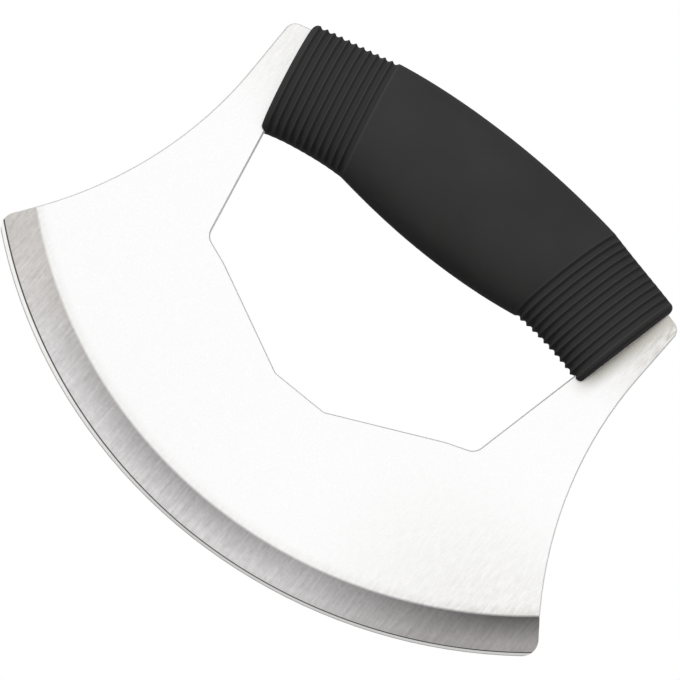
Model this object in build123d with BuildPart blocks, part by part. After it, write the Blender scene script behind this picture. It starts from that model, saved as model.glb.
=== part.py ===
from build123d import *
from math import cos, radians, sin, sqrt, tan
import os

# Rocking pizza knife, standing on its cutting edge.
# One stainless plate forms the curved blade, two side arms and a hidden bar across the top.
# A two-part rigid core is riveted to that bar, and a soft ribbed grip is moulded over the core.
# X runs along the grip, Y from the front face to the back, Z up from the lowest point of the edge.
# All lengths are in millimetres and all angles in degrees.

# Grip, outside
grip_centre_height = 112.55
grip_height = 37.3
grip_depth = 31.0
waist_reach = 31.5
waist_drop = 0.31
waist_height = 33.6
waist_depth = 26.0
end_height = 31.9
end_depth = 22.4
end_rise = 0.7
grip_lean = 12.6

# Ribs, the same number at each end of the grip
rib_count = 11
rib_zone_length = 23.7
crest_drop = 0.3
groove_depth = 0.5
lip_round = 1.0

# Blade plate
plate_thickness = 2.0
edge_radius = 133.0
edge_reach = 86.0
tip_round = 4.2
neck_height = 102.4
arm_width = 10.7
horn_cover = 2.25
horn_reach = 5.1
horn_fall = 14.6
horn_round = 3.0
edge_break = 0.35

# Hand opening in the plate
floor_height = 45.0
floor_width = 15.4
corner_height = 61.3
shoulder_width = 7.25
shoulder_drop = 2.7
grip_overlap = 1.54
floor_round = 1.5
shoulder_round = 20.0
corner_round = 3.5
tang_corner_round = 4.0

# Ground edge: a hollow bevel left by a wheel, then a narrow second bevel and a fine land
bevel_width = 9.1
bevel_radius = 118.4
bevel_runout = 2.0
bevel_runout_thickness = 0.32
wheel_radius = 87.0
second_bevel_angle = 9.0
edge_land = 0.12

# Bar inside the grip, and the rivets through it
tang_height = 21.0
rivet_spacing = 27.0
rivet_radius = 2.0
rivet_head_radius = 3.8
rivet_head_thickness = 1.2
rivet_head_depth = 1.4
rivet_head_edge = 0.3

# Rigid core
sleeve_wall = 3.0
sleeve_end_wall = 2.0
core_wall = 3.2
pocket_width = 7.0
pocket_gap = 2.0
collar_radius = 3.2

# Clearances
tang_clearance = 0.2
rivet_clearance = 0.1
collar_clearance = 0.1
head_clearance = 0.2
overrun = 5.0

# Shares of the sizes that they follow, chosen by hand
middle_shares = (-1.0, -0.75, -0.5, -0.25, 0.0, 0.25, 0.5, 0.75, 1.0)
core_end_shares = (0.0, 0.15, 0.35, 0.6, 1.0)
rib_place_and_depth_shares = ((0.22, 0.85), (0.5, 1.0), (0.78, 0.85), (1.0, 0.0))
lip_place_and_depth_shares = ((0.5, 0.134), (0.866, 0.5), (1.0, 1.0))
pocket_height_share = 0.4

# Places worked out from the sizes above
waist_centre_height = grip_centre_height - waist_drop
lean_cos = cos(radians(grip_lean))
lean_sin = sin(radians(grip_lean))
lean_tan = tan(radians(grip_lean))
end_centre_reach = waist_reach + rib_zone_length * lean_cos
end_centre_height = waist_centre_height - rib_zone_length * lean_sin
end_top_reach = end_centre_reach + (end_height / 2 + end_rise) * lean_sin
end_top_height = end_centre_height + (end_height / 2 + end_rise) * lean_cos
rib_pitch = (rib_zone_length - lip_round) / rib_count
tang_top = end_top_height - horn_cover
tang_bottom = tang_top - tang_height
tang_middle = (tang_top + tang_bottom) / 2
edge_centre_height = edge_radius
tip_height = edge_radius - sqrt(edge_radius**2 - edge_reach**2)
grind_centre_height = bevel_width + bevel_radius
rivet_places = (-rivet_spacing, 0.0, rivet_spacing)
rivet_centres = [(place, tang_middle) for place in rivet_places]
front = 1
rear = -1

os.makedirs("parts", exist_ok=True)


def blend(start, end, share):
    """Value a share of the way from start to end."""
    return start + (end - start) * share


def opening_side(height):
    """Half width of the hand opening at a height, along its straight leaning side."""
    return end_centre_reach + (height - end_centre_height) * lean_tan - grip_overlap / lean_cos


def middle_section(share, inset):
    """Plane and radii of the grip between its waists, at a share of the way to the right one."""
    lean = radians(grip_lean * share)
    depth = crest_drop * share**4
    shift = share * depth / 2
    centre = grip_centre_height - waist_drop * share**2
    plane = Plane(
        origin=(waist_reach * share + shift * sin(lean), 0, centre + shift * cos(lean)),
        x_dir=(0, 1, 0),
        z_dir=(cos(lean), 0, -sin(lean)),
    )
    half_depth = blend(grip_depth, waist_depth, share**2) / 2 - depth - inset
    half_height = (blend(grip_height, waist_height, share**2) - depth) / 2 - inset
    return plane, half_depth, half_height


def end_section(side, along, depth, inset):
    """Plane and radii of the grip's ribbed end, a length along it and a depth under its smooth side."""
    taper = 1 - (1 - along / rib_zone_length) ** 3
    shift = end_rise * taper + side * depth / 2
    plane = Plane(
        origin=(
            side * (waist_reach + along * lean_cos + shift * lean_sin),
            0,
            waist_centre_height - along * lean_sin + shift * lean_cos,
        ),
        x_dir=(0, 1, 0),
        z_dir=(lean_cos, 0, -side * lean_sin),
    )
    half_depth = blend(waist_depth, end_depth, taper) / 2 - depth - inset
    half_height = (blend(waist_height, end_height, taper) - depth) / 2 - inset
    return plane, half_depth, half_height


def core_half_depth(reach):
    """Half depth of the core at a distance from the middle of the grip."""
    return blend(grip_depth, waist_depth, (reach / waist_reach) ** 2) / 2 - sleeve_wall


def rivet_seat(place):
    """Distance from the middle of the plate to the seat under a rivet's head."""
    return core_half_depth(place) - rivet_head_depth - rivet_head_thickness


# Plate outline, drawn on the front plane: local X is X and local Y is Z
with BuildSketch(Plane.XZ) as plate_outline:
    with BuildLine():
        neck = (opening_side(neck_height) + arm_width, neck_height)
        horn_inner = (end_top_reach, tang_top)
        horn_corner = (end_top_reach + horn_reach, tang_top - horn_reach * tan(radians(horn_fall)))
        flare = (neck[0] - horn_corner[0], neck[1] - horn_corner[1])
        ThreePointArc((-edge_reach, tip_height), (0, 0), (edge_reach, tip_height))
        right_side = TangentArc(neck, (edge_reach, tip_height), tangent=flare)
        right_horn = FilletPolyline(neck, horn_corner, horn_inner, radius=horn_round)
        mirror(right_side, about=Plane.YZ)
        mirror(right_horn, about=Plane.YZ)
        Line(horn_inner, (-end_top_reach, tang_top))
    make_face()
    fillet(plate_outline.vertices().group_by(Axis.X)[0], radius=tip_round)
    fillet(plate_outline.vertices().group_by(Axis.X)[-1], radius=tip_round)
    with BuildLine():
        shoulder_height = corner_height - shoulder_drop
        shoulder_reach = opening_side(corner_height) - shoulder_width
        right_opening = (
            (floor_width / 2, floor_height),
            (shoulder_reach, shoulder_height),
            (opening_side(corner_height), corner_height),
            (opening_side(tang_bottom), tang_bottom),
        )
        left_opening = tuple((-reach, height) for reach, height in reversed(right_opening))
        opening_rounds = (floor_round, shoulder_round, corner_round, tang_corner_round)
        FilletPolyline(
            *right_opening,
            *left_opening,
            radius=(*opening_rounds, *reversed(opening_rounds)),
            close=True,
        )
    make_face(mode=Mode.SUBTRACT)

# Plain plate, used to shape what is moulded round the bar and arms
with BuildPart() as plain_plate:
    with BuildSketch(Plane.XZ):
        add(plate_outline.sketch)
    extrude(amount=plate_thickness / 2, both=True)

# Blade plate: outline with broken edges, three holes in the bar and the ground edge
with BuildPart() as blade_plate:
    with BuildSketch(Plane.XZ):
        add(plate_outline.sketch)
    extrude(amount=plate_thickness / 2, both=True)
    chamfer(blade_plate.faces().filter_by(Axis.Y).edges(), length=edge_break)
    with BuildSketch(Plane.XZ):
        with Locations(*rivet_centres):
            Circle(collar_radius + collar_clearance)
    extrude(amount=plate_thickness, both=True, mode=Mode.SUBTRACT)
    second_shoulder_height = (plate_thickness - edge_land) / 2 / tan(radians(second_bevel_angle))
    for side in (front, rear):
        with BuildSketch(Plane.YZ):
            with BuildLine():
                shoulder = (-side * plate_thickness / 2, bevel_width)
                runout = (-side * bevel_runout_thickness / 2, -bevel_runout)
                outside = -side * (plate_thickness / 2 + overrun)
                RadiusArc(shoulder, runout, side * wheel_radius)
                Polyline(runout, (outside, -bevel_runout), (outside, bevel_width), shoulder)
            make_face()
        revolve(axis=Axis((0, 0, grind_centre_height), (0, 1, 0)), mode=Mode.SUBTRACT)
        with BuildSketch(Plane.YZ):
            with BuildLine():
                Polyline(
                    (-side * edge_land / 2, 0),
                    (-side * plate_thickness / 2, second_shoulder_height),
                    (outside, second_shoulder_height),
                    (outside, 0),
                    close=True,
                )
            make_face()
        revolve(axis=Axis((0, 0, edge_centre_height), (0, 1, 0)), mode=Mode.SUBTRACT)
blade_plate.part.label = "blade_plate"
export_step(blade_plate.part, "parts/blade_plate.step")

# Whole core, before it is cut in two: the grip's form with the sleeve's wall taken off
with BuildPart() as core_body:
    for share in middle_shares:
        plane, half_depth, half_height = middle_section(share, sleeve_wall)
        with BuildSketch(plane):
            Ellipse(half_depth, half_height)
    loft()
    for side in (-1, 1):
        for share in core_end_shares:
            along = share * (rib_zone_length - sleeve_end_wall)
            plane, half_depth, half_height = end_section(side, along, crest_drop, sleeve_wall)
            with BuildSketch(plane):
                Ellipse(half_depth, half_height)
        loft(ruled=True)

# Room for the bar in the core, a little larger than the bar's outline
with BuildPart() as tang_room:
    with BuildSketch(Plane.XZ):
        add(plate_outline.sketch)
        offset(amount=tang_clearance, kind=Kind.INTERSECTION)
    extrude(amount=plate_thickness / 2, both=True)

# Front half of the core, with pockets, rivet bosses and locating collars
with BuildPart() as core_front:
    add(core_body.part)
    split(bisect_by=Plane.XZ, keep=Keep.TOP)
    add(tang_room.part, mode=Mode.SUBTRACT)
    tang_face = Plane.XZ.offset(plate_thickness / 2)
    first_pocket_reach = (rivet_spacing - pocket_width - pocket_gap) / 2
    for hand in (-1, 1):
        for pocket in (0, 1):
            pocket_reach = first_pocket_reach + pocket * (pocket_width + pocket_gap)
            with BuildSketch(tang_face):
                with Locations((hand * pocket_reach, tang_middle)):
                    Rectangle(pocket_width, pocket_height_share * grip_height)
            extrude(amount=core_half_depth(pocket_reach) - plate_thickness / 2 - core_wall, mode=Mode.SUBTRACT)
    with BuildSketch(tang_face):
        with Locations(*rivet_centres):
            Circle(collar_radius)
    extrude(amount=(collar_clearance - plate_thickness) / 2)
    with BuildSketch(Plane.XZ):
        with Locations(*rivet_centres):
            Circle(rivet_radius + rivet_clearance)
    extrude(amount=grip_depth / 2, mode=Mode.SUBTRACT)
    for place in rivet_places:
        with BuildSketch(Plane.XZ.offset(rivet_seat(place))):
            with Locations((place, tang_middle)):
                Circle(rivet_head_radius + head_clearance)
        extrude(amount=grip_depth / 2, mode=Mode.SUBTRACT)
core_front.part.label = "core_front"
export_step(core_front.part, "parts/core_front.step")

# Rear half of the core, moulded as the front one's mirror image
with BuildPart() as core_rear:
    mirror(core_front.part, about=Plane.XZ)
core_rear.part.label = "core_rear"
export_step(core_rear.part, "parts/core_rear.step")

# Rivets: a shank through both halves and the bar, with a flat head at each end
with BuildPart() as tang_rivets:
    for place in rivet_places:
        with BuildSketch(Plane.XZ):
            with Locations((place, tang_middle)):
                Circle(rivet_radius)
        extrude(amount=rivet_seat(place), both=True)
        for side in (front, rear):
            with BuildSketch(Plane.XZ.offset(side * rivet_seat(place))):
                with Locations((place, tang_middle)):
                    Circle(rivet_head_radius)
            extrude(amount=side * rivet_head_thickness)
    head_faces = tang_rivets.faces().filter_by(Axis.Y).filter_by(lambda face: len(face.edges()) == 1)
    fillet(head_faces.edges(), radius=rivet_head_edge)
tang_rivets.part.label = "tang_rivets"
export_step(tang_rivets.part, "parts/tang_rivets.step")

# Grip sleeve: smooth middle and two ribbed ends, moulded over the core, the rivet heads and the arms
# The grooves run out at the bottom of the left end and at the top of the right one
with BuildPart() as grip_sleeve:
    for share in middle_shares:
        plane, half_depth, half_height = middle_section(share, 0)
        with BuildSketch(plane):
            Ellipse(half_depth, half_height)
    loft()
    for side in (-1, 1):
        rib_sections = [(0, crest_drop)]
        for rib in range(rib_count):
            for place_share, depth_share in rib_place_and_depth_shares:
                rib_sections.append(((rib + place_share) * rib_pitch, crest_drop + depth_share * groove_depth))
        for place_share, depth_share in lip_place_and_depth_shares:
            along = rib_zone_length - lip_round * (1 - place_share)
            rib_sections.append((along, crest_drop + depth_share * lip_round))
        for along, depth in rib_sections:
            plane, half_depth, half_height = end_section(side, along, depth, 0)
            with BuildSketch(plane):
                Ellipse(half_depth, half_height)
        loft(ruled=True)
    add(core_body.part, mode=Mode.SUBTRACT)
    for place in rivet_places:
        for side in (front, rear):
            head_top = rivet_seat(place) + rivet_head_thickness
            with BuildSketch(Plane.XZ.offset(side * head_top)):
                with Locations((place, tang_middle)):
                    Circle(rivet_head_radius + head_clearance)
            extrude(amount=side * (rivet_head_depth + sleeve_wall / 2))
    add(plain_plate.part, mode=Mode.SUBTRACT)
grip_sleeve.part.label = "grip_sleeve"
export_step(grip_sleeve.part, "parts/grip_sleeve.step")
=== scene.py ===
"""Rocking pizza knife: a ground stainless plate, and a soft ribbed grip moulded round its top bar."""

import logging
import math
from collections.abc import Sequence
from dataclasses import dataclass, field
from enum import Enum

import bmesh
import bpy
from mathutils import Matrix, Vector


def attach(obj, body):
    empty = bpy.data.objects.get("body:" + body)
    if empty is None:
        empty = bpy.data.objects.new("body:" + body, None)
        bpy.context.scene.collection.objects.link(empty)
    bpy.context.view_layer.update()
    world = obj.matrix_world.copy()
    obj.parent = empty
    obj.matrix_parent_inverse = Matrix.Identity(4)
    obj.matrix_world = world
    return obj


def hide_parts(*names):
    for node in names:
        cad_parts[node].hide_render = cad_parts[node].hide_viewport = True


MM = 0.001
WHITE = (1.0, 1.0, 1.0, 1.0)
POLYMER_IOR = 1.49
LOG = logging.getLogger("rocking_knife")
Colour = tuple[float, float, float, float]

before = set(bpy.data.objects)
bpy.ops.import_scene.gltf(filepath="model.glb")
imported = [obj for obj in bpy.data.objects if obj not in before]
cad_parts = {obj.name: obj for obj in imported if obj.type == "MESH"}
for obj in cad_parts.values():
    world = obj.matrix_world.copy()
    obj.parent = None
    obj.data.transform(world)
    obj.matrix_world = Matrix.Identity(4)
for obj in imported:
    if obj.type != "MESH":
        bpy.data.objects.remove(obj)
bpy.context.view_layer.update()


def linear(hex_colour: str) -> Colour:
    """Turn an sRGB hex colour to linear RGBA.

    Args:
        hex_colour: Six hex digits after a hash sign.

    Returns:
        Linear red, green and blue, and full opacity.
    """
    values = [int(hex_colour[i : i + 2], 16) / 255 for i in (1, 3, 5)]
    red, green, blue = (v / 12.92 if v <= 0.04045 else ((v + 0.055) / 1.055) ** 2.4 for v in values)
    return red, green, blue, 1.0


def node(
    tree: bpy.types.NodeTree,
    kind: str,
    settings: dict[str, object] | None = None,
    inputs: dict[str | int, object] | None = None,
    stops: Sequence[tuple[float, Colour]] = (),
) -> bpy.types.Node:
    """Add a node with its settings and links.

    Args:
        tree: Node tree that gets the node.
        kind: The node's Blender type name.
        settings: Attributes to set on the node.
        inputs: A value or another node's output socket, for each input's name or number.
        stops: Place and linear colour of each stop, for a node with a colour ramp.

    Returns:
        The new node.
    """
    made = tree.nodes.new(kind)
    for name, value in (settings or {}).items():
        setattr(made, name, value)
    for name, value in (inputs or {}).items():
        if isinstance(value, bpy.types.NodeSocket):
            tree.links.new(value, made.inputs[name])
        else:
            made.inputs[name].default_value = value
    for _ in stops[2:]:
        made.color_ramp.elements.new(1.0)
    for i, (place, colour) in enumerate(stops):
        made.color_ramp.elements[i].position = place
        made.color_ramp.elements[i].color = colour
    return made


def new_tree(name: str) -> tuple[bpy.types.Material, bpy.types.NodeTree]:
    """Make a material with an empty node tree.

    Args:
        name: The material's name.

    Returns:
        The material and its node tree.
    """
    material = bpy.data.materials.new(name)
    material.use_nodes = True
    material.node_tree.nodes.clear()
    return material, material.node_tree


class Side(Enum):
    """The grip's two ends, as signs along X."""

    LEFT = -1
    RIGHT = 1


@dataclass
class Ring:
    """One ring of the grip's skin.

    It holds its points in millimetres, how deep in a groove each point lies, and whether it is ribbed.
    """

    points: list[Vector] = field(default_factory=list)
    depths: list[float] = field(default_factory=list)
    zone: float = 0.0


@dataclass(frozen=True)
class Tones:
    """Colours along a ramp, each with its place from 0 to 1."""

    places: tuple[float, ...]
    colours: tuple[str, ...]

    def stops(self) -> list[tuple[float, Colour]]:
        """Give the ramp's stops, with linear colours."""
        return [(place, linear(colour)) for place, colour in zip(self.places, self.colours)]


@dataclass(frozen=True)
class Fade:
    """A smooth change from one strength to another between two places in millimetres."""

    start: float
    end: float
    first: float = 0.0
    last: float = 1.0


@dataclass(frozen=True)
class GroundStainless:
    """Martensitic stainless sheet, stamped, its flats finished on a fine belt and its edge ground.

    The belt ran from the edge to the grip. It leaves the flats nearly white, with short upright wisps that
    break up a painted shade: by the bevel, low towards the right tip, and high beside the grip, where it
    stands in for the grip's shadow and reflection. A painted shadow of the grip's right end lies on the
    strip beside it. The bevel is a satin grey with longer upright streaks, painted darker at its inner
    shoulder and towards the right as painted reflection shade. The honed edge carries a painted glint, a
    bright band behind a painted dark line, and the sheared sides are a duller grey. The belt's and the
    wheel's real grit is far finer than a pixel, so the wisps, streaks and specks are drawn as coarse as they
    need to be to show.
    """

    flat: str = "#FFFFFF"
    shade_tone: str = "#CFCBC4"
    grip_shadow: str = "#C9C5BE"
    sheared: str = "#E3E3E3"
    # The shoulder and heel tones are painted reflection shade, darker at the shoulder and towards the right
    shoulder: Tones = Tones(
        (0.05, 0.36, 0.52, 0.66, 0.79, 0.92),
        ("#D4D0CD", "#B2B0B1", "#ACAAAB", "#B1AFB0", "#8E8B8C", "#666364"),
    )
    heel: Tones = Tones((0.04, 0.20, 0.64, 0.86), ("#D2CECB", "#E0DEDF", "#D7D5D6", "#A5A2A1"))
    # The hone's tones are a painted glint: a painted dark line, a painted bright band and a painted grey rim
    hone_glint: Tones = Tones(
        (0.06, 0.24, 0.32, 0.78, 0.86), ("#565453", "#565453", "#FDFDFC", "#FDFDFC", "#C2C0BE")
    )
    flat_roughness: float = 0.28
    grind_roughness: float = 0.40
    sheared_roughness: float = 0.90
    roughness_swing: float = 0.04
    bump_strength: float = 0.08
    bump_depth_mm: float = 0.02
    side_facing: tuple[float, float] = (0.94, 0.88)
    noise_detail: float = 4.0
    wisp_width_mm: float = 0.8
    wisp_length_mm: float = 3.5
    wisp_roughness: float = 0.65
    wisp_wander: float = 0.4
    wisp_marks: tuple[float, float] = (1.75, 0.25)
    streak_width_mm: float = 0.75
    streak_length_mm: float = 9.0
    streak_lean: float = 7.0
    streak_roughness: float = 0.7
    streak_marks: tuple[float, float] = (0.80, 1.20)
    grit_mm: float = 1.0
    grit_detail: float = 3.0
    grit_share: float = 0.35
    mark_spread: tuple[float, float] = (0.3, 0.7)
    grind_centre_mm: float = 131.5
    grind_radius_mm: float = 122.1
    grind_blur_mm: float = 0.35
    shoulder_width_mm: float = 0.6
    heel_width_mm: float = 4.0
    edge_radius_mm: float = 133.0
    blade_reach_mm: float = 86.0
    hone_start_mm: tuple[float, float] = (131.5, 132.0)
    hone_glint_level: tuple[float, float] = (1.0, 0.68)
    hone_full_share: float = 0.7
    shade_right: Fade = Fade(16.0, 86.0, last=0.34)
    shade_low: Fade = Fade(68.0, 26.0)
    shade_by_shoulder: Fade = Fade(119.1, 122.1, last=0.20)
    shade_high: Fade = Fade(88.0, 122.0)
    shade_beside: Fade = Fade(-86.0, 86.0, 0.22, 0.75)
    grip_end_lean: float = 12.6
    grip_end_mm: float = 31.4
    # The smudge is a painted shadow of the grip's right end on the plate
    grip_shadow_reach: Fade = Fade(4.0, 0.0)
    grip_shadow_foot: Fade = Fade(88.0, 97.0)

    def build(self) -> bpy.types.Material:
        """Build the material.

        Returns:
            The finished material.
        """
        material, tree = new_tree("ground_stainless")
        coordinates = node(tree, "ShaderNodeTexCoord")
        place = coordinates.outputs["Object"]
        grind = self.radius(tree, place, self.grind_centre_mm)
        in_bevel = node(
            tree,
            "ShaderNodeMapRange",
            inputs={
                "Value": grind,
                "From Min": (self.grind_radius_mm - self.grind_blur_mm) * MM,
                "From Max": (self.grind_radius_mm + self.grind_blur_mm) * MM,
            },
        ).outputs["Result"]
        wisps, flat = self.flats(tree, place, grind)
        streaks, bevel = self.bevel(tree, place, grind)
        ground = node(
            tree, "ShaderNodeMix", {"data_type": "RGBA"}, {"Factor": in_bevel, 6: flat, 7: bevel}
        ).outputs[2]
        honed = self.honed(tree, place, ground)

        # The sides and broken edges of the sheet are where its normal turns away from front and back
        normal = coordinates.outputs["Normal"]
        facing = node(tree, "ShaderNodeSeparateXYZ", inputs={"Vector": normal}).outputs["Y"]
        facing = node(tree, "ShaderNodeMath", {"operation": "ABSOLUTE"}, {0: facing}).outputs["Value"]
        on_side = node(
            tree,
            "ShaderNodeMapRange",
            inputs={"Value": facing, "From Min": self.side_facing[0], "From Max": self.side_facing[1]},
        ).outputs["Result"]
        colour = node(
            tree,
            "ShaderNodeMix",
            {"data_type": "RGBA"},
            {"Factor": on_side, 6: honed, 7: linear(self.sheared)},
        ).outputs[2]
        pattern = node(
            tree, "ShaderNodeMix", {"data_type": "FLOAT"}, {"Factor": in_bevel, 2: wisps, 3: streaks}
        ).outputs[0]
        least_roughness = node(
            tree,
            "ShaderNodeMapRange",
            inputs={
                "Value": in_bevel,
                "To Min": self.flat_roughness - self.roughness_swing,
                "To Max": self.grind_roughness - self.roughness_swing,
            },
        ).outputs["Result"]
        roughness = node(
            tree,
            "ShaderNodeMath",
            {"operation": "MULTIPLY_ADD"},
            {0: pattern, 1: 2 * self.roughness_swing, 2: least_roughness},
        ).outputs["Value"]
        roughness = node(
            tree,
            "ShaderNodeMix",
            {"data_type": "FLOAT"},
            {"Factor": on_side, 2: roughness, 3: self.sheared_roughness},
        ).outputs[0]
        bump = node(
            tree,
            "ShaderNodeBump",
            inputs={
                "Strength": self.bump_strength,
                "Distance": self.bump_depth_mm * MM,
                "Height": pattern,
            },
        ).outputs["Normal"]
        shader = node(
            tree,
            "ShaderNodeBsdfPrincipled",
            inputs={"Base Color": colour, "Metallic": 1.0, "Roughness": roughness, "Normal": bump},
        )
        node(tree, "ShaderNodeOutputMaterial", inputs={"Surface": shader.outputs["BSDF"]})
        return material

    def radius(
        self, tree: bpy.types.NodeTree, place: bpy.types.NodeSocket, centre_mm: float
    ) -> bpy.types.NodeSocket:
        """Measure the distance from an arc's centre on the knife's middle line.

        Args:
            tree: Node tree that gets the nodes.
            place: Place on the plate.
            centre_mm: The centre's height.

        Returns:
            The socket with the distance in metres.
        """
        centred = node(
            tree,
            "ShaderNodeVectorMath",
            {"operation": "SUBTRACT"},
            {0: place, 1: (0.0, 0.0, centre_mm * MM)},
        ).outputs["Vector"]
        level = node(
            tree, "ShaderNodeVectorMath", {"operation": "MULTIPLY"}, {0: centred, 1: (1.0, 0.0, 1.0)}
        ).outputs["Vector"]
        return node(tree, "ShaderNodeVectorMath", {"operation": "LENGTH"}, {0: level}).outputs["Value"]

    def flats(
        self, tree: bpy.types.NodeTree, place: bpy.types.NodeSocket, grind: bpy.types.NodeSocket
    ) -> tuple[bpy.types.NodeSocket, bpy.types.NodeSocket]:
        """Belt wisps over painted shade by the bevel, low on the right and beside the grip, and a painted
        grip shadow.

        Args:
            tree: Node tree that gets the nodes.
            place: Place on the plate.
            grind: Distance from the bevel's centre.

        Returns:
            Sockets with the wisps' height and the colour.
        """
        stretched = node(
            tree,
            "ShaderNodeMapping",
            inputs={
                "Vector": place,
                "Scale": (1 / (self.wisp_width_mm * MM), 1 / MM, 1 / (self.wisp_length_mm * MM)),
            },
        ).outputs["Vector"]
        wisps = node(
            tree,
            "ShaderNodeTexNoise",
            inputs={
                "Vector": stretched,
                "Scale": 1.0,
                "Detail": self.noise_detail,
                "Roughness": self.wisp_roughness,
                "Distortion": self.wisp_wander,
            },
        ).outputs["Fac"]
        axes = node(tree, "ShaderNodeSeparateXYZ", inputs={"Vector": place}).outputs
        lean = math.radians(self.grip_end_lean)
        off_line = node(
            tree,
            "ShaderNodeVectorMath",
            {"operation": "DOT_PRODUCT"},
            {0: place, 1: (math.cos(lean), 0.0, -math.sin(lean))},
        ).outputs["Value"]
        off_line = node(
            tree, "ShaderNodeMath", {"operation": "SUBTRACT"}, {0: off_line, 1: self.grip_end_mm * MM}
        ).outputs["Value"]
        off_line = node(tree, "ShaderNodeMath", {"operation": "ABSOLUTE"}, {0: off_line}).outputs["Value"]
        right, low, shoulder, high, beside, near, above = [
            node(
                tree,
                "ShaderNodeMapRange",
                {"interpolation_type": "SMOOTHSTEP"},
                {
                    "Value": length,
                    "From Min": fade.start * MM,
                    "From Max": fade.end * MM,
                    "To Min": fade.first,
                    "To Max": fade.last,
                },
            ).outputs["Result"]
            for length, fade in (
                (axes["X"], self.shade_right),
                (axes["Z"], self.shade_low),
                (grind, self.shade_by_shoulder),
                (axes["Z"], self.shade_high),
                (axes["X"], self.shade_beside),
                (off_line, self.grip_shadow_reach),
                (axes["Z"], self.grip_shadow_foot),
            )
        ]
        # The haze is painted shade by the bevel, low on the right and beside the grip, broken up by the
        # wisps
        shade_share = node(
            tree, "ShaderNodeMath", {"operation": "MULTIPLY_ADD"}, {0: right, 1: low, 2: shoulder}
        ).outputs["Value"]
        shade_share = node(
            tree, "ShaderNodeMath", {"operation": "MULTIPLY_ADD"}, {0: high, 1: beside, 2: shade_share}
        ).outputs["Value"]
        marked = node(
            tree,
            "ShaderNodeMapRange",
            inputs={
                "Value": wisps,
                "From Min": self.mark_spread[0],
                "From Max": self.mark_spread[1],
                "To Min": self.wisp_marks[0],
                "To Max": self.wisp_marks[1],
            },
        ).outputs["Result"]
        shade_share = node(
            tree, "ShaderNodeMath", {"operation": "MULTIPLY", "use_clamp": True}, {0: shade_share, 1: marked}
        ).outputs["Value"]

        # The strip beside the grip's right end is painted a beige grey: a painted shadow of the grip's end
        grip_shadowed = node(
            tree, "ShaderNodeMath", {"operation": "MULTIPLY"}, {0: near, 1: above}
        ).outputs["Value"]
        colour: object = linear(self.flat)
        for share, tone in ((shade_share, self.shade_tone), (grip_shadowed, self.grip_shadow)):
            colour = node(
                tree,
                "ShaderNodeMix",
                {"data_type": "RGBA"},
                {"Factor": share, 6: colour, 7: linear(tone)},
            ).outputs[2]
        return wisps, colour

    def bevel(
        self, tree: bpy.types.NodeTree, place: bpy.types.NodeSocket, grind: bpy.types.NodeSocket
    ) -> tuple[bpy.types.NodeSocket, bpy.types.NodeSocket]:
        """Wheel streaks over a painted reflection tone that lightens from the shoulder to the hone's heel.

        Args:
            tree: Node tree that gets the nodes.
            place: Place on the plate.
            grind: Distance from the bevel's centre.

        Returns:
            Sockets with the streaks' height and the colour.
        """
        stretched = node(
            tree,
            "ShaderNodeMapping",
            inputs={
                "Vector": place,
                "Rotation": (0.0, math.radians(self.streak_lean), 0.0),
                "Scale": (1 / (self.streak_width_mm * MM), 1 / MM, 1 / (self.streak_length_mm * MM)),
            },
        ).outputs["Vector"]
        streaks, grit = [
            node(
                tree,
                "ShaderNodeTexNoise",
                inputs={
                    "Vector": vector,
                    "Scale": scale,
                    "Detail": detail,
                    "Roughness": self.streak_roughness,
                },
            ).outputs["Fac"]
            for vector, scale, detail in (
                (stretched, 1.0, self.noise_detail),
                (place, 1 / (self.grit_mm * MM), self.grit_detail),
            )
        ]
        marks = node(
            tree, "ShaderNodeMix", {"data_type": "FLOAT"}, {"Factor": self.grit_share, 2: streaks, 3: grit}
        ).outputs[0]
        marks = node(
            tree,
            "ShaderNodeMapRange",
            inputs={
                "Value": marks,
                "From Min": self.mark_spread[0],
                "From Max": self.mark_spread[1],
                "To Min": self.streak_marks[0],
                "To Max": self.streak_marks[1],
            },
        ).outputs["Result"]

        # Each row of painted reflection tones runs from the left tip to the right one, darker towards the
        # right
        reach = node(tree, "ShaderNodeSeparateXYZ", inputs={"Vector": place}).outputs["X"]
        reach = node(
            tree,
            "ShaderNodeMapRange",
            inputs={
                "Value": reach,
                "From Min": -self.blade_reach_mm * MM,
                "From Max": self.blade_reach_mm * MM,
            },
        ).outputs["Result"]
        shoulder, heel = [
            node(tree, "ShaderNodeValToRGB", inputs={"Fac": reach}, stops=tones.stops()).outputs["Color"]
            for tones in (self.shoulder, self.heel)
        ]
        outwards = node(
            tree,
            "ShaderNodeMapRange",
            inputs={
                "Value": grind,
                "From Min": (self.grind_radius_mm + self.shoulder_width_mm) * MM,
                "From Max": (self.edge_radius_mm - self.heel_width_mm) * MM,
            },
        ).outputs["Result"]
        tone = node(
            tree, "ShaderNodeMix", {"data_type": "RGBA"}, {"Factor": outwards, 6: shoulder, 7: heel}
        ).outputs[2]
        colour = node(
            tree,
            "ShaderNodeMix",
            {"data_type": "RGBA", "blend_type": "MULTIPLY"},
            {"Factor": 1.0, 6: tone, 7: marks},
        ).outputs[2]
        return streaks, colour

    def honed(
        self, tree: bpy.types.NodeTree, place: bpy.types.NodeSocket, ground: bpy.types.NodeSocket
    ) -> bpy.types.NodeSocket:
        """Lay the honed edge's painted glint over the ground colour: a painted dark line, a painted bright
        band and a painted grey rim.

        Args:
            tree: Node tree that gets the nodes.
            place: Place on the plate.
            ground: Colour of what lies inside the hone.

        Returns:
            The socket with the colour.
        """
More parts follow.
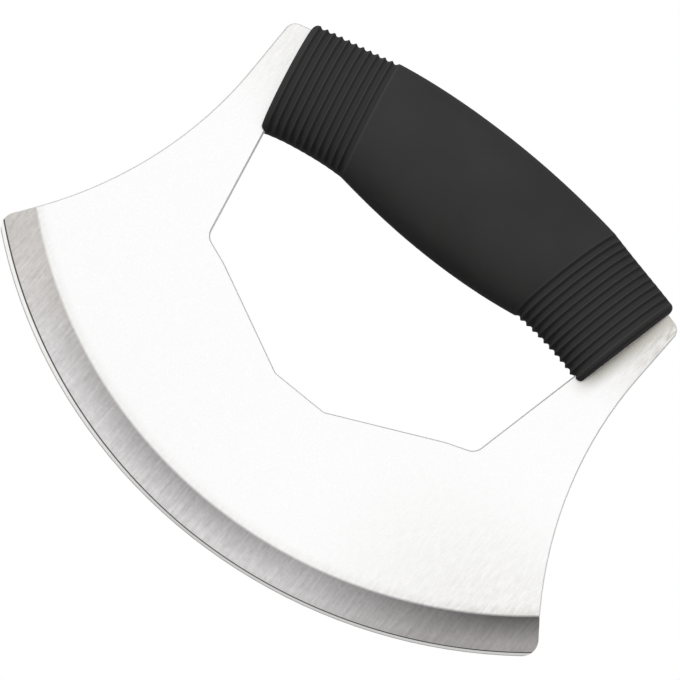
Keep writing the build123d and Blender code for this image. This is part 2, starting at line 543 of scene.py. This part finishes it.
        # The hone's painted glint narrows and dims from near the left tip to the middle, and stays so to the
        # right
        reach = node(tree, "ShaderNodeSeparateXYZ", inputs={"Vector": place}).outputs["X"]
        start, light = [
            node(
                tree,
                "ShaderNodeMapRange",
                inputs={
                    "Value": reach,
                    "From Min": -self.hone_full_share * self.blade_reach_mm * MM,
                    "From Max": 0.0,
                    "To Min": left,
                    "To Max": middle,
                },
            ).outputs["Result"]
            for left, middle in ([value * MM for value in self.hone_start_mm], self.hone_glint_level)
        ]
        share = node(
            tree,
            "ShaderNodeMapRange",
            inputs={
                "Value": self.radius(tree, place, self.edge_radius_mm),
                "From Min": start,
                "From Max": self.edge_radius_mm * MM,
            },
        ).outputs["Result"]
        bands = node(
            tree, "ShaderNodeValToRGB", inputs={"Fac": share}, stops=self.hone_glint.stops()
        ).outputs["Color"]
        bands = node(
            tree,
            "ShaderNodeMix",
            {"data_type": "RGBA", "blend_type": "MULTIPLY"},
            {"Factor": 1.0, 6: bands, 7: light},
        ).outputs[2]
        inside = node(
            tree,
            "ShaderNodeMapRange",
            inputs={"Value": share, "From Min": 0.0, "From Max": self.hone_glint.places[0]},
        ).outputs["Result"]
        return node(
            tree, "ShaderNodeMix", {"data_type": "RGBA"}, {"Factor": inside, 6: ground, 7: bands}
        ).outputs[2]


@dataclass(frozen=True)
class MouldedSoftRubber:
    """Thermoplastic elastomer, injection moulded in a spark-eroded tool.

    It is a deep neutral black that stays matte: the stipple of the tool scatters nearly all its gloss. The
    crests of the ribs are painted a little paler, a painted highlight, and the steep flanks of the grooves a
    little darker than the rest, painted shade. The real stipple is finer than a pixel, and is drawn as
    coarse as it needs to be to show.
    """

    smooth: Tones = Tones((0.40, 0.66), ("#333333", "#363636"))
    # The ribbed tones are a painted highlight on the crests and painted shade on the groove flanks
    ribbed: Tones = Tones((0.0, 0.3, 0.95), ("#3C3C3C", "#2F2F2F", "#333333"))
    roughness: float = 0.74
    roughness_below: float = 0.06
    roughness_above: float = 0.08
    gloss: float = 0.02
    stipple_mm: float = 0.35
    stipple_detail: float = 2.0
    stipple_roughness: float = 0.55
    stipple_strength: float = 0.22
    stipple_depth_mm: float = 0.03
    cloud_mm: float = 18.0
    cloud_detail: float = 3.0
    cloud_roughness: float = 0.5

    def build(self) -> bpy.types.Material:
        """Build the material.

        Returns:
            The finished material.
        """
        material, tree = new_tree("moulded_soft_rubber")
        place = node(tree, "ShaderNodeTexCoord").outputs["Object"]
        stipple, cloud = [
            node(
                tree,
                "ShaderNodeTexNoise",
                inputs={
                    "Vector": place,
                    "Scale": 1 / (size_mm * MM),
                    "Detail": detail,
                    "Roughness": roughness,
                },
            ).outputs["Fac"]
            for size_mm, detail, roughness in (
                (self.stipple_mm, self.stipple_detail, self.stipple_roughness),
                (self.cloud_mm, self.cloud_detail, self.cloud_roughness),
            )
        ]

        # How far a place lies down a groove comes with the mesh: 0 on a crest, 1 at the bottom
        depth = node(tree, "ShaderNodeAttribute", {"attribute_name": "rib_depth"}).outputs["Fac"]
        in_ribs = node(tree, "ShaderNodeAttribute", {"attribute_name": "rib_zone"}).outputs["Fac"]
        # Along the ribs, the crests get a painted highlight and the groove flanks painted shade
        smooth, ribbed = [
            node(tree, "ShaderNodeValToRGB", inputs={"Fac": value}, stops=tones.stops()).outputs["Color"]
            for value, tones in ((cloud, self.smooth), (depth, self.ribbed))
        ]
        colour = node(
            tree, "ShaderNodeMix", {"data_type": "RGBA"}, {"Factor": in_ribs, 6: smooth, 7: ribbed}
        ).outputs[2]
        rough = node(
            tree,
            "ShaderNodeMapRange",
            inputs={
                "Value": stipple,
                "To Min": self.roughness - self.roughness_below,
                "To Max": self.roughness + self.roughness_above,
            },
        ).outputs["Result"]
        bump = node(
            tree,
            "ShaderNodeBump",
            inputs={
                "Strength": self.stipple_strength,
                "Distance": self.stipple_depth_mm * MM,
                "Height": stipple,
            },
        ).outputs["Normal"]
        shader = node(
            tree,
            "ShaderNodeBsdfPrincipled",
            inputs={
                "Base Color": colour,
                "Roughness": rough,
                "Normal": bump,
                "IOR": POLYMER_IOR,
                "Specular IOR Level": self.gloss,
            },
        )
        node(tree, "ShaderNodeOutputMaterial", inputs={"Surface": shader.outputs["BSDF"]})
        return material


@dataclass(frozen=True)
class MouldedPolypropylene:
    """Glass-filled polypropylene, injection moulded and never seen.

    It is a waxy black, with pale fibre marks that run along its flow. The marks are drawn coarser than real
    glass fibres, which are too thin to show.
    """

    tones: Tones = Tones((0.5, 0.75), ("#2B2B2B", "#3A3A39"))
    roughness: float = 0.45
    fibre_mm: float = 1.2
    fibre_stretch: float = 4.0
    fibre_detail: float = 3.0
    fibre_roughness: float = 0.6

    def build(self) -> bpy.types.Material:
        """Build the material.

        Returns:
            The finished material.
        """
        material, tree = new_tree("moulded_polypropylene")
        place = node(tree, "ShaderNodeTexCoord").outputs["Object"]
        across = 1 / (self.fibre_mm * MM)
        flow = node(
            tree,
            "ShaderNodeMapping",
            inputs={"Vector": place, "Scale": (across / self.fibre_stretch, 1 / MM, across)},
        ).outputs["Vector"]
        fibres = node(
            tree,
            "ShaderNodeTexNoise",
            inputs={
                "Vector": flow,
                "Scale": 1.0,
                "Detail": self.fibre_detail,
                "Roughness": self.fibre_roughness,
            },
        ).outputs["Fac"]
        colour = node(
            tree, "ShaderNodeValToRGB", inputs={"Fac": fibres}, stops=self.tones.stops()
        ).outputs["Color"]
        shader = node(
            tree,
            "ShaderNodeBsdfPrincipled",
            inputs={"Base Color": colour, "Roughness": self.roughness, "IOR": POLYMER_IOR},
        )
        node(tree, "ShaderNodeOutputMaterial", inputs={"Surface": shader.outputs["BSDF"]})
        return material


@dataclass(frozen=True)
class ColdHeadedAluminium:
    """Aluminium rivet wire, cold headed in a die: a pale soft metal with a dull burnish from the tool."""

    body: str = "#D5D6D8"
    roughness: float = 0.36
    roughness_swing: float = 0.08
    burnish_mm: float = 0.8
    burnish_detail: float = 2.0

    def build(self) -> bpy.types.Material:
        """Build the material.

        Returns:
            The finished material.
        """
        material, tree = new_tree("cold_headed_aluminium")
        place = node(tree, "ShaderNodeTexCoord").outputs["Object"]
        marks = node(
            tree,
            "ShaderNodeTexNoise",
            inputs={"Vector": place, "Scale": 1 / (self.burnish_mm * MM), "Detail": self.burnish_detail},
        ).outputs["Fac"]
        rough = node(
            tree,
            "ShaderNodeMapRange",
            inputs={
                "Value": marks,
                "To Min": self.roughness - self.roughness_swing,
                "To Max": self.roughness + self.roughness_swing,
            },
        ).outputs["Result"]
        shader = node(
            tree,
            "ShaderNodeBsdfPrincipled",
            inputs={"Base Color": linear(self.body), "Metallic": 1.0, "Roughness": rough},
        )
        node(tree, "ShaderNodeOutputMaterial", inputs={"Surface": shader.outputs["BSDF"]})
        return material


@dataclass
class BladePlate:
    """The stainless plate: blade, side arms and the bar inside the grip, as the model gives it."""

    finish: GroundStainless = field(default_factory=GroundStainless)

    def dress(self) -> None:
        """Give the plate its ground stainless."""
        dress_cad("blade_plate", self.finish.build())


@dataclass
class RivetedCore:
    """What the grip hides: two rigid half shells and the three rivets that clamp them to the bar."""

    shells: MouldedPolypropylene = field(default_factory=MouldedPolypropylene)
    rivets: ColdHeadedAluminium = field(default_factory=ColdHeadedAluminium)

    def dress(self) -> None:
        """Give the shells and the rivets their materials."""
        plastic = self.shells.build()
        dress_cad("core_front", plastic)
        dress_cad("core_rear", plastic)
        dress_cad("tang_rivets", self.rivets.build())


@dataclass
class RibbedGrip:
    """The soft grip: a smooth waisted middle, and a leaning ribbed end on each side.

    Each ring of the skin is an ellipse in a plane square to the grip's bent axis. The ribs have a scooped
    groove between each two, and the grooves run out into a narrow land on one side: at the bottom on the
    left, at the top on the right. A rounded lip closes each end. Lengths are in millimetres and angles in
    degrees.
    """

    centre_height: float = 112.55
    height: float = 37.3
    depth: float = 31.0
    waist_reach: float = 31.5
    waist_drop: float = 0.31
    waist_height: float = 33.6
    waist_depth: float = 26.0
    end_height: float = 31.9
    end_depth: float = 22.4
    end_rise: float = 0.7
    lean: float = 12.6
    rib_count: int = 11
    rib_zone: float = 24.0
    crest_drop: float = 0.3
    groove_depth: float = 0.62
    crest_round: float = 0.3
    lip: float = 1.5
    lip_drop: float = 0.35
    lip_swell: float = 0.2
    lip_run: float = 8.0
    offset: float = 0.45
    land_start: float = 9.0
    land_end: float = 20.0
    land_share: float = 0.08
    land_turn: float = 8.0
    around: int = 188
    middle_rings: int = 96
    rings_per_rib: int = 18
    lip_rings: int = 10
    finish: MouldedSoftRubber = field(default_factory=MouldedSoftRubber)

    def build(self) -> bpy.types.Object:
        """Build the grip's skin and put it in place of its plain solid.

        Returns:
            The finished piece.
        """
        rings = self.end_rings(Side.LEFT)[::-1] + self.middle() + self.end_rings(Side.RIGHT)
        mesh = bmesh.new()
        depth_layer = mesh.verts.layers.float.new("rib_depth")
        zone_layer = mesh.verts.layers.float.new("rib_zone")
        loops = []
        for ring in rings:
            loop = []
            for point, depth in zip(ring.points, ring.depths):
                vertex = mesh.verts.new(point * MM)
                vertex[depth_layer] = depth
                vertex[zone_layer] = ring.zone
                loop.append(vertex)
            loops.append(loop)
        for first, second in zip(loops, loops[1:]):
            for i in range(self.around):
                j = (i + 1) % self.around
                mesh.faces.new((first[i], first[j], second[j], second[i]))
        for loop in (loops[0], loops[-1]):
            mesh.faces.new(loop)
        bmesh.ops.recalc_face_normals(mesh, faces=mesh.faces)
        grip = finish_piece("grip_sleeve_soft", mesh, self.finish.build())
        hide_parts("grip_sleeve")
        return grip

    def middle(self) -> list[Ring]:
        """Make the rings of the smooth middle, from the left waist to the right one.

        Returns:
            The rings.
        """
        rings = []
        for k in range(1, self.middle_rings):
            share = -1 + 2 * k / self.middle_rings
            lean = math.radians(self.lean * share)
            sunk = self.crest_drop * share**4
            shift = share * sunk / 2
            centre = Vector(
                (
                    self.offset + self.waist_reach * share + shift * math.sin(lean),
                    0,
                    self.centre_height - self.waist_drop * share**2 + shift * math.cos(lean),
                )
            )
            half_depth = (self.depth + (self.waist_depth - self.depth) * share**2) / 2 - sunk
            half_height = (self.height + (self.waist_height - self.height) * share**2 - sunk) / 2
            rings.append(self.ring(centre, lean, half_depth, half_height))
        return rings

    def end_rings(self, side: Side) -> list[Ring]:
        """Make the rings of a ribbed end, from the waist out to the end face.

        Args:
            side: Which end.

        Returns:
            The rings.
        """
        ribbed = self.rib_zone - self.lip
        pitch = ribbed / self.rib_count
        count = self.rib_count * self.rings_per_rib
        rings = []
        for k in range(count):
            along = ribbed * k / count
            rings.append(self.end_ring(side, along, self.groove_depth * self.groove(along / pitch)))
        for k in range(self.lip_rings):
            turn = math.radians(90 * k / (self.lip_rings - 1))
            along = ribbed + self.lip * math.sin(turn)
            rings.append(self.end_ring(side, along, lip=self.lip * (1 - math.cos(turn))))
        return rings

    def groove(self, pitches: float) -> float:
        """Give the grooves' depth as a share, at a number of pitches from the first one's start."""
        arch = math.hypot(math.sin(math.pi * pitches), self.crest_round) - self.crest_round
        return arch / (math.hypot(1.0, self.crest_round) - self.crest_round)

    def end_ring(self, side: Side, along: float, groove: float = 0.0, lip: float = 0.0) -> Ring:
        """Make one ring of a ribbed end.

        Args:
            side: Which end.
            along: Length from the waist along the end's straight axis.
            groove: How deep the ring lies in a groove, where the groove is at its full depth.
            lip: How far the ring lies inside the lip's crest, all the way round.

        Returns:
            The ring.
        """
        sign = side.value
        lean = math.radians(self.lean)
        taper = 1 - (1 - along / self.rib_zone) ** 3
        near_end = max(0.0, 1 - (self.rib_zone - along) / self.lip_run) ** 2
        shift = self.end_rise * taper + sign * self.crest_drop / 2 - self.lip_drop * near_end
        centre = Vector(
            (
                self.offset + sign * (self.waist_reach + along * math.cos(lean) + shift * math.sin(lean)),
                0,
                self.centre_height - self.waist_drop - along * math.sin(lean) + shift * math.cos(lean),
            )
        )
        depth = self.waist_depth + (self.end_depth - self.waist_depth) * taper
        height = self.waist_height + (self.end_height - self.waist_height) * taper
        half_depth = depth / 2 - self.crest_drop
        half_height = (height - self.crest_drop) / 2 + self.lip_swell * near_end
        land = sign * 90 + self.land_turn
        ring = self.ring(centre, sign * lean, half_depth, half_height, land, groove, lip)
        ring.zone = 1.0 if lip == 0 else 0.0
        return ring

    def ring(
        self,
        centre: Vector,
        lean: float,
        half_depth: float,
        half_height: float,
        land: float = 0.0,
        groove: float = 0.0,
        lip: float = 0.0,
    ) -> Ring:
        """Make one elliptical ring, sunk along its own normals by a groove or by the lip.

        Args:
            centre: The ring's centre.
            lean: How far the axis dips to the right, in radians.
            half_depth: Half the ring's size along Y.
            half_height: Half the ring's size across the axis.
            land: Direction of the land that the grooves run out into, in degrees from the back upwards.
            groove: Full depth of the groove.
            lip: How far the ring lies inside the lip's crest.

        Returns:
            The ring.
        """
        up = Vector((math.sin(lean), 0, math.cos(lean)))
        ring = Ring()
        for k in range(self.around):
            turn = 2 * math.pi * k / self.around
            off_land = abs((math.degrees(turn) - land + 180) % 360 - 180)
            share = min(max((off_land - self.land_start) / (self.land_end - self.land_start), 0.0), 1.0)
            share = self.land_share + (1 - self.land_share) * share * share * (3 - 2 * share)
            sunk = groove * share + lip
            normal = Vector((math.cos(turn) / half_depth, math.sin(turn) / half_height)).normalized()
            deep = half_depth * math.cos(turn) - sunk * normal[0]
            high = half_height * math.sin(turn) - sunk * normal[1]
            ring.points.append(centre + Vector((0, deep, 0)) + up * high)
            ring.depths.append(groove * share / self.groove_depth)
        return ring


def finish_piece(name: str, mesh: bmesh.types.BMesh, material: bpy.types.Material) -> bpy.types.Object:
    """Turn a mesh in progress into a smooth piece that rides on the knife.

    Args:
        name: The piece's name.
        mesh: The mesh, which is freed.
        material: The piece's material.

    Returns:
        The new piece.
    """
    data = bpy.data.meshes.new(name)
    mesh.to_mesh(data)
    mesh.free()
    data.materials.append(material)
    data.shade_smooth()
    piece = bpy.data.objects.new(name, data)
    bpy.context.scene.collection.objects.link(piece)
    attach(piece, "root")
    LOG.info("%s: %d faces", name, len(data.polygons))
    return piece


def dress_cad(name: str, material: bpy.types.Material) -> None:
    """Give every material slot of a model node one material.

    Args:
        name: The node's name.
        material: The material to give it.
    """
    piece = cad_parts[name]
    if not piece.material_slots:
        piece.data.materials.append(material)
    for place in piece.material_slots:
        place.material = material
    LOG.info("%s: dressed with %s", name, material.name)


@dataclass(frozen=True)
class Lamp:
    """A square soft lamp: its name, its place and width in metres, and its power in watts."""

    name: str
    place: tuple[float, float, float]
    power: float
    width: float = 1.1


@dataclass
class Studio:
    """A pale floor, a white surround and large soft lamps at a plain level. Lengths are in metres."""

    floor_colour: str = "#C4C4C2"
    floor_roughness: float = 0.7
    floor_gloss: float = 0.1
    floor_glow: float = 0.55
    floor_size: float = 5.0
    surround: float = 0.33
    lamps: tuple[Lamp, ...] = (
        Lamp("key_lamp", (-1.65, -2.95, 0.58), 100.0),
        Lamp("fill_lamp", (2.90, -1.80, 0.58), 13.0),
        Lamp("back_lamp", (0.70, 3.30, 0.58), 38.0),
    )
    aim: tuple[float, float, float] = (0.0, 0.0, 0.07)

    def build(self) -> None:
        """Build the floor, the surround and the lamps."""
        self.floor()
        self.world()
        for lamp in self.lamps:
            self.hang(lamp)

    def floor(self) -> None:
        """Lay the floor. It shows from above only, because the camera looks up past its edge."""
        mesh = bmesh.new()
        bmesh.ops.create_grid(mesh, x_segments=1, y_segments=1, size=self.floor_size / 2)
        data = bpy.data.meshes.new("floor")
        mesh.to_mesh(data)
        mesh.free()
        floor = bpy.data.objects.new("floor", data)
        bpy.context.scene.collection.objects.link(floor)
        material, tree = new_tree("painted_board")
        shader = node(
            tree,
            "ShaderNodeBsdfPrincipled",
            inputs={
                "Base Color": linear(self.floor_colour),
                "Roughness": self.floor_roughness,
                "Specular IOR Level": self.floor_gloss,
                "Emission Color": WHITE,
                "Emission Strength": self.seen(tree, 0.0, self.floor_glow),
            },
        )
        behind = node(tree, "ShaderNodeNewGeometry").outputs["Backfacing"]
        clear = node(tree, "ShaderNodeBsdfTransparent")
        mixed = node(
            tree,
            "ShaderNodeMixShader",
            inputs={0: behind, 1: shader.outputs["BSDF"], 2: clear.outputs["BSDF"]},
        )
        node(tree, "ShaderNodeOutputMaterial", inputs={"Surface": mixed.outputs["Shader"]})
        data.materials.append(material)

    def world(self) -> None:
        """Surround the knife: white to the eye and in reflections, a plain level of light elsewhere."""
        world = bpy.data.worlds.new("studio")
        bpy.context.scene.world = world
        world.use_nodes = True
        tree = world.node_tree
        tree.nodes.clear()
        strength = self.seen(tree, self.surround, 1.0)
        light = node(tree, "ShaderNodeBackground", inputs={"Color": WHITE, "Strength": strength})
        node(tree, "ShaderNodeOutputWorld", inputs={"Surface": light.outputs["Background"]})

    def seen(
        self, tree: bpy.types.NodeTree, otherwise: float, when_seen: float
    ) -> bpy.types.NodeSocket:
        """Choose between two strengths by whether the eye, a reflection or glass sees the surface.

        Args:
            tree: Node tree that gets the nodes.
            otherwise: Strength for the light that falls on the knife.
            when_seen: Strength for what is seen.

        Returns:
            The socket with the strength.
        """
        path = node(tree, "ShaderNodeLightPath").outputs
        rays = path["Is Camera Ray"]
        for other in ("Is Glossy Ray", "Is Transmission Ray"):
            rays = node(
                tree, "ShaderNodeMath", {"operation": "MAXIMUM"}, {0: rays, 1: path[other]}
            ).outputs["Value"]
        return node(
            tree,
            "ShaderNodeMapRange",
            inputs={"Value": rays, "To Min": otherwise, "To Max": when_seen},
        ).outputs["Result"]

    def hang(self, lamp: Lamp) -> None:
        """Hang a lamp so that it faces the knife and shows in no reflection.

        Args:
            lamp: The lamp to hang.
        """
        data = bpy.data.lights.new(lamp.name, "AREA")
        data.shape = "SQUARE"
        data.size = lamp.width
        data.energy = lamp.power
        hung = bpy.data.objects.new(lamp.name, data)
        bpy.context.scene.collection.objects.link(hung)
        hung.location = lamp.place
        towards = Vector(self.aim) - Vector(lamp.place)
        hung.rotation_euler = towards.to_track_quat("-Z", "Y").to_euler()
        hung.visible_glossy = False


@dataclass
class PhotoCamera:
    """The camera that took the photograph: low in front, a little to the right, and turned on its axis.

    Lengths are in millimetres and angles in degrees.
    """

    look_at: tuple[float, float, float] = (-0.88, 0.0, 62.1)
    yaw: float = 5.04
    below: float = 15.0
    distance: float = 680.8
    turn: float = 40.27
    frame_width: float = 169.25
    sensor: float = 36.0
    nearest: float = 10.0
    farthest: float = 20000.0

    def build(self) -> None:
        """Set up the camera and make it the scene's own."""
        data = bpy.data.cameras.new("photo_camera")
        camera = bpy.data.objects.new("photo_camera", data)
        bpy.context.scene.collection.objects.link(camera)
        yaw, pitch, turn = (math.radians(angle) for angle in (self.yaw, self.below, self.turn))
        back = Vector((math.sin(yaw) * math.cos(pitch), -math.cos(yaw) * math.cos(pitch), -math.sin(pitch)))
        right = Vector((math.cos(yaw), math.sin(yaw), 0))
        up = back.cross(right)
        turned_right = right * math.cos(turn) + up * math.sin(turn)
        turned_up = up * math.cos(turn) - right * math.sin(turn)
        place = (Vector(self.look_at) + back * self.distance) * MM
        rotation = Matrix((turned_right, turned_up, back)).transposed()
        camera.matrix_world = Matrix.Translation(place) @ rotation.to_4x4()
        data.sensor_width = self.sensor
        data.lens = self.sensor * self.distance / self.frame_width
        data.clip_start = self.nearest * MM
        data.clip_end = self.farthest * MM
        bpy.context.scene.camera = camera


def main() -> None:
    """Build the scene: the camera, the studio, and each sub-assembly of the knife."""
    logging.basicConfig(level=logging.INFO, format="%(name)s %(message)s")
    bpy.context.scene.view_settings.view_transform = "Standard"
    PhotoCamera().build()
    Studio().build()
    BladePlate().dress()
    RivetedCore().dress()
    RibbedGrip().build()
    LOG.info("sizes written")


if __name__ == "__main__":
    main()
